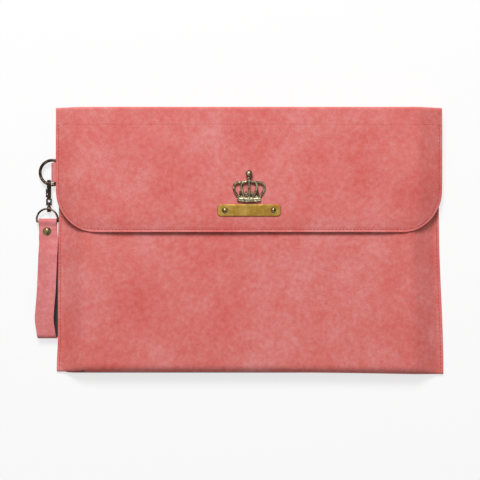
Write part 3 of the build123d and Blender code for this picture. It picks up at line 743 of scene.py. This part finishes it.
def leg_gap(y):
    """Half the distance between the strap's outer faces: bar, pinched neck, then the hand loop."""
    opening = 1.5 * MM + 2.5 * MM * smooth((RIVET_Y - 4.2 * MM - y) / (18 * MM))
    return opening + 1.3 * MM * smooth((y - RIVET_Y - 4 * MM) / (5.3 * MM))


# How far the front and the back leg wander sideways, at places along y, all in millimetres.
WANDER_Y = np.array([-91, -74, -46, 0, 20])
WANDER_X = np.array([0.6, -2.6, -0.3, 1.6, 0.3])
BACK_Y = np.array([-91, -20, 20])
BACK_X = np.array([1.2, 1.2, 0.6])


def strap_points(depth, half_width):
    """The strip round its loop, depth inside its outer face, with each leg's sideways wander."""
    leg_y = np.linspace(BAR_Y, FOLD_Y, 160)
    share = np.linspace(0, 1, 26)[1:-1]
    turn = np.linspace(0, np.pi, 26)[1:-1]
    bar_turn = np.linspace(-np.pi, 0, 26)[1:-1]
    loop, bar = LOOP_RADIUS - depth, BAR_RADIUS - depth
    leg_z = leg_gap(leg_y) - depth
    y = np.concatenate([leg_y, FOLD_Y - loop * np.sin(turn), leg_y[::-1], BAR_Y - bar * np.sin(bar_turn)])
    z = np.concatenate([leg_z, loop * np.cos(turn), -leg_z[::-1], -bar * np.cos(bar_turn + np.pi)])
    wander = np.interp(leg_y, WANDER_Y * MM, WANDER_X * MM)
    kernel = np.hanning(31) / np.hanning(31).sum()
    wander = np.convolve(np.pad(wander, 15, mode="edge"), kernel, "valid")
    back = np.interp(leg_y, BACK_Y * MM, BACK_X * MM)
    to_back = wander[-1] + (back[-1] - wander[-1]) * share
    to_front = back[0] + (wander[0] - back[0]) * share
    shift = np.concatenate([wander, to_back, back[::-1], to_front])
    flare = half_width + 0.35 * MM * smooth((BAR_Y - 6 * MM - y) / (14 * MM))
    across = np.linspace(-1, 1, 15)
    x = STRAP_X + shift[:, None] + across[None, :] * flare[:, None]
    return np.stack([x, y[:, None] + 0 * x, CHAIN_Z + z[:, None] + 0 * x], -1)


def strap_strip(name, depth, thickness, half_width, material, rim):
    """A closed strip round the strap's loop, with its wall and eased edges."""
    points = strap_points(depth, half_width)
    rows, columns = points.shape[:2]
    faces = grid_faces(rows, columns, closed=True)[:, ::-1]
    piece = make_piece(name, points.reshape(-1, 3), [faces], material)
    thicken(piece, thickness, rim)
    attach(piece, "strap")
    return piece


strap_half = (strap_high[0] - strap_low[0]) / 2
strap_skin = strap_strip("strap_leather", 0, LEATHER, strap_half, strap_coral, 0.25 * MM)
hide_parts("strap_outer")
inner_half = strap_half - 0.1 * MM
strap_back = strap_strip("strap_backing", LEATHER, 0.55 * MM, inner_half, backing, 0.1 * MM)
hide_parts("strap_lining")
print("the strap has", len(strap_skin.data.polygons), "faces")

# %% [markdown]
# The tab is a short folded strip that comes out of the side seam, goes round the ring's bar and
# comes back. Its section never changes, so the curve of that section is worked out once and swept
# straight across its width.

# %% Ring tab
tab_low, tab_high = (np.array(corner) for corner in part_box("ring_tab"))
ring_low, ring_high = (np.array(corner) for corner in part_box("seam_ring"))
RING_BAR_X = ring_high[0] - 1.4 * MM
TAB_RADIUS = RING_BAR_X - tab_low[0]


def tab_points():
    """Out along the seam, three quarters round the bar, and back down onto the seam's edge."""
    turn = np.linspace(-np.pi / 2, -3 * np.pi / 2, 40)
    bend_x = RING_BAR_X + TAB_RADIUS * np.cos(turn)
    bend_z = CHAIN_Z + TAB_RADIUS * np.sin(turn)
    out = np.linspace(0, 1, 10)[:-1]
    in_x = tab_high[0] + (RING_BAR_X - tab_high[0]) * out
    in_z = 1.0 * MM + (CHAIN_Z - TAB_RADIUS - 1.0 * MM) * out**2
    back = np.linspace(0, 1, 16)[1:]
    back_x = RING_BAR_X + back * 5.0 * MM
    back_z = CHAIN_Z + TAB_RADIUS + (FLANGE_Z + LEATHER - CHAIN_Z - TAB_RADIUS) * smooth(back)
    x = np.concatenate([in_x, bend_x, back_x])[:, None]
    z = np.concatenate([in_z, bend_z, back_z])[:, None]
    y = np.linspace(tab_low[1], tab_high[1], 19)[None, :]
    return np.stack([x + 0 * y, y + 0 * x, z + 0 * y], -1)


tab_grid = tab_points()
tab_faces = [grid_faces(*tab_grid.shape[:2])]
tab_leather = make_piece("tab_leather", tab_grid.reshape(-1, 3), tab_faces, strap_coral)
thicken(tab_leather, LEATHER, 0.2 * MM)
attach(tab_leather, "root")
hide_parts("ring_tab")
print("the tab is", round(tab_high[1] - tab_low[1], 4), "m wide")

# %% [markdown]
# The plate is a flat oblong of brass with round corners, and its stamped edge is rounded and painted
# darker: painted shade for the edge's darker reflection and its shadow.
# A bevelled box would round all its corners alike, so rings of points follow the outline instead,
# each a little further in and higher.

# %% Plate
plate_low, plate_high = (np.array(corner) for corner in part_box("name_plate"))


def plate_points():
    """Outline rings of a rounded oblong, pulled in and raised round a quarter circle at the edge."""
    centre = (plate_low + plate_high) / 2
    half = (plate_high - plate_low)[:2] / 2
    corner = 3.8 * MM
    ease = 0.7 * MM
    turn = np.linspace(0, 2 * np.pi, 97)[:-1]
    quarter = np.floor(turn / (np.pi / 2) + 1e-9) * np.pi / 2 + np.pi / 4
    middle = np.stack([np.sign(np.cos(quarter)), np.sign(np.sin(quarter))], 1) * (half - corner)
    angle = np.linspace(0, np.pi / 2, 6)
    insets = np.concatenate([[0], ease * (1 - np.cos(angle)), [1.2 * MM, 2.4 * MM, 3.6 * MM]])
    edge_z = plate_high[2] - ease + ease * np.sin(angle)
    heights = np.concatenate([[plate_low[2]], edge_z, [plate_high[2]] * 3])
    ring = np.stack([np.cos(turn), np.sin(turn)], 1)
    flat = middle[None] + ring[None] * (corner - insets)[:, None, None]
    z = np.broadcast_to(heights[:, None, None], flat.shape[:2] + (1,))
    return np.concatenate([flat + centre[:2], z], -1)


plate_grid = plate_points()
rings, places_round = plate_grid.shape[:2]
index = np.arange(rings * places_round).reshape(rings, places_round)
after = np.roll(index, -1, axis=1)
plate_faces = np.stack([index[:-1], after[:-1], after[1:], index[1:]], -1).reshape(-1, 4)
plate_piece = make_piece("plate", plate_grid.reshape(-1, 3), [plate_faces], plate_brass)
shape = bmesh.new()
shape.from_mesh(plate_piece.data)
bmesh.ops.holes_fill(shape, edges=[edge for edge in shape.edges if edge.is_boundary])
bmesh.ops.recalc_face_normals(shape, faces=shape.faces)
shape.to_mesh(plate_piece.data)
shape.free()
# The first four rings round the plate's rim take the darker brass of painted shade.
plate_piece.data.materials.append(plate_edge_painted_shade)
painted_shade_faces = np.zeros(len(plate_piece.data.polygons), dtype=np.int32)
painted_shade_faces[: 4 * places_round] = 1
plate_piece.data.polygons.foreach_set("material_index", painted_shade_faces)
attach(plate_piece, "flap")
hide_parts("name_plate")
print("the plate is", np.round(plate_high - plate_low, 4))

# %% [markdown]
# The crown charm is cast in one piece: five ribs rise from a band, bow outward and meet on top,
# where a stem carries a ball. A height map on a plate would leave no gaps between the ribs. So every
# rib, rim and stem is a tube along a curve, every bead is a small ball, and the whole charm is a
# list of curves and a list of centres, in millimetres.

# %% Crown charm
CHARM_Z = FLAP_TOP_Z + 1.0 * MM


def curve_through(knots, count=28):
    """A smooth curve through knots: each coordinate is a cubic of the way along (Catmull and Rom)."""
    knots = np.array(knots, float) * MM
    ends = np.concatenate([[2 * knots[0] - knots[1]], knots, [2 * knots[-1] - knots[-2]]])
    way = np.linspace(0, len(knots) - 1 - 1e-9, count)
    at = way.astype(int)
    t = (way - at)[:, None]
    a, b, c, d = (ends[at + k] for k in range(4))
    square, cube = 2 * a - 5 * b + 4 * c - d, 3 * b - a - 3 * c + d
    return 0.5 * (2 * b + (c - a) * t + square * t**2 + cube * t**3)


def tube(path, across, high, sides=10):
    """A closed tube along a path of (x, y, z): an oval, across wide in the sheet's plane and high up."""
    direction = unit(np.gradient(path, axis=0))
    side = unit(np.cross([0, 0, 1.0], direction))
    up = np.cross(direction, side)
    turn = np.linspace(0, 2 * np.pi, sides + 1)[:-1]
    across, high = (np.broadcast_to(size, len(path))[:, None, None] for size in (across, high))
    flat = np.cos(turn)[None, :, None] * across * side[:, None]
    ring = path[:, None] + flat + np.sin(turn)[None, :, None] * high * up[:, None]
    ends = path[[0, -1]][:, None].repeat(sides, 1)
    return np.concatenate([ends[:1], ring, ends[1:]])


def ball(centre, radius, rings=9, sides=14):
    """A ball as rings of points from one pole to the other."""
    high = np.linspace(-np.pi / 2, np.pi / 2, rings)[:, None]
    turn = np.linspace(0, 2 * np.pi, sides + 1)[None, :-1]
    level = np.cos(high)
    shape = np.stack([level * np.cos(turn), level * np.sin(turn), np.sin(high) + 0 * turn], -1)
    return np.array(centre) * MM + shape * radius * MM


def closed_rings(blocks):
    """One mesh from blocks of rings (rings, sides, 3): each ring joins the next all the way round.

    The points that fall together at a pole or a tube's end are merged afterwards.
    """
    points, faces, count = [], [], 0
    for block in blocks:
        rings, sides = block.shape[:2]
        index = count + np.arange(rings * sides).reshape(rings, sides)
        after = np.roll(index, -1, axis=1)
        faces.append(np.stack([index[:-1], after[:-1], after[1:], index[1:]], -1).reshape(-1, 4))
        points.append(block.reshape(-1, 3))
        count += rings * sides
    return np.concatenate(points), faces


low_z = CHARM_Z / MM
blocks = []
for side in (-1, 1):
    outer = [(10.6, 40.6, 0), (12.9, 44.6, 0.7), (14.0, 48.4, 1.1), (13.2, 51.3, 1.2), (10.4, 52.9, 1.2)]
    outer += [(7.6, 53.0, 1.3), (4.0, 53.4, 1.5), (0.4, 54.4, 1.6)]
    inner = [(4.6, 40.6, 0.9), (5.9, 44.5, 1.9), (7.0, 48.5, 2.4), (6.8, 51.4, 2.0), (5.2, 53.2, 1.5)]
    for knots, wide, beads in ((outer, 1.15, 12), (inner, 1.1, 7)):
        path = curve_through([(side * x, y, low_z + z) for x, y, z in knots], 34)
        blocks.append(tube(path, wide * MM, 1.0 * MM))
        bead_at = np.linspace(0.06, 0.94, beads) * (len(path) - 1)
        for place in path[bead_at.astype(int)] / MM:
            blocks.append(ball(place + (0, 0, 0.75), 0.62, 6, 9))
middle_rib = [(40.6, 1.2), (46, 2.7), (50.5, 2.5), (54.2, 1.7)]
path = curve_through([(0, y, low_z + z) for y, z in middle_rib])
blocks.append(tube(path, 1.15 * MM, 1.0 * MM))
for place in path[3:-2:5] / MM:
    blocks.append(ball(place + (0, 0, 0.75), 0.66, 6, 9))
stem_knots = [(53.6, 1.4), (55.6, 1.4), (57.4, 1.6), (59.6, 1.9)]
stem = curve_through([(0, y, low_z + z) for y, z in stem_knots], 24)
stem_y = stem[:, 1] / MM
swell = 1.15 + 0.75 * np.exp(-(((stem_y - 57.0) / 0.7) ** 2)) + 0.4 * (stem_y < 54.6)
blocks.append(tube(stem, swell * MM, swell * MM * 0.8, 14))
blocks.append(ball((0, 61.0, low_z + 2.2), 3.2, 15, 22))
for x in (-8.0, -2.6, 2.6, 8.0):
    blocks.append(ball((x, 42.6, low_z + 0.7), 1.25))
    blocks.append(ball((x * 1.03, 44.4, low_z + 0.9), 0.75, 7, 10))
for x in np.linspace(-10.2, 10.2, 13):
    blocks.append(ball((x, 40.9 - 0.004 * x * x, low_z + 1.2), 0.82, 7, 10))
band = [(x, 37.4 + 0.008 * x * x, low_z + 0.7 - 0.006 * x * x) for x in np.linspace(-10.7, 10.7, 9)]
blocks.append(tube(curve_through(band, 40), 1.9 * MM, 1.2 * MM, 12))
for shift, wide, reach in ((-1.7, 0.6, 1.0), (1.9, 0.55, 1.04)):
    rim = [(x * reach, y + shift, z + 0.8) for x, y, z in band]
    blocks.append(tube(curve_through(rim, 40), wide * MM, wide * MM, 8))
crown = make_piece("crown", *closed_rings(blocks), charm_brass)
shape = bmesh.new()
shape.from_mesh(crown.data)
bmesh.ops.remove_doubles(shape, verts=shape.verts, dist=0.001 * MM)
shape.to_mesh(crown.data)
shape.free()
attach(crown, "flap")
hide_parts("crown_charm")
print("the crown has", len(blocks), "cast shapes and", len(crown.data.polygons), "faces")

# %% [markdown]
# The sleeve lies on plain white. A bright sky alone would wash out the flap's edge, so the table and
# the sky are white to the camera only, and the lamps stay gentle: a wide key beyond the top edge lets
# the flap throw its shadow on the front, and a dim sky fills the rest.

# %% Table and light
FLOOR_HALF = 3.0
FLOOR_Z = -0.6 * MM
TABLE_GLOW = 0.72
floor_corners = np.array([(-1, -1), (1, -1), (1, 1), (-1, 1)]) * FLOOR_HALF
floor_points = np.column_stack([floor_corners, np.full(4, FLOOR_Z)])
white, nodes, links, shader = new_material("white_table", 0.9)
shader.inputs["Base Color"].default_value = (0.93, 0.93, 0.93, 1)
shader.inputs["Specular IOR Level"].default_value = 0.1
seen, glow, mixed = (nodes.new("ShaderNode" + kind) for kind in ("LightPath", "Emission", "MixShader"))
share = nodes.new("ShaderNodeMath")
share.operation = "MULTIPLY"
share.inputs[1].default_value = TABLE_GLOW
links.new(seen.outputs["Is Camera Ray"], share.inputs[0])
links.new(share.outputs[0], mixed.inputs["Fac"])
links.new(shader.outputs["BSDF"], mixed.inputs[1])
links.new(glow.outputs["Emission"], mixed.inputs[2])
links.new(mixed.outputs["Shader"], nodes["Material Output"].inputs["Surface"])
floor = make_piece("floor", floor_points, [np.array([[0, 1, 2, 3]])], white)

SKY = 0.17
world = bpy.data.worlds.new("sky")
bpy.context.scene.world = world
world.use_nodes = True
sky_nodes, sky_links = world.node_tree.nodes, world.node_tree.links
backdrop = sky_nodes["Background"]
rays = sky_nodes.new("ShaderNodeLightPath")
seen = rays.outputs["Is Camera Ray"]
for ray in ("Is Glossy Ray", "Is Transmission Ray"):
    either = sky_nodes.new("ShaderNodeMath")
    either.operation = "MAXIMUM"
    sky_links.new(seen, either.inputs[0])
    sky_links.new(rays.outputs[ray], either.inputs[1])
    seen = either.outputs[0]
level = sky_nodes.new("ShaderNodeMapRange")
level.inputs["To Min"].default_value = SKY
level.inputs["To Max"].default_value = 1.0
sky_links.new(seen, level.inputs["Value"])
sky_links.new(level.outputs["Result"], backdrop.inputs["Strength"])
backdrop.inputs["Color"].default_value = (1, 1, 1, 1)


def soft_lamp(name, place, size, power):
    """A square area lamp at a place, turned to the origin."""
    lamp = bpy.data.objects.new(name, bpy.data.lights.new(name, "AREA"))
    lamp.data.size = size
    lamp.data.energy = power
    lamp.location = place
    lamp.rotation_euler = Vector(place).to_track_quat("Z", "Y").to_euler()
    bpy.context.collection.objects.link(lamp)


soft_lamp("key", (-0.3, 1.8, 1.95), 0.9, 64)
soft_lamp("top", (0.1, 0.8, 2.3), 0.9, 9)
bpy.context.scene.view_settings.view_transform = "Standard"
print("lit by two lamps and the sky")
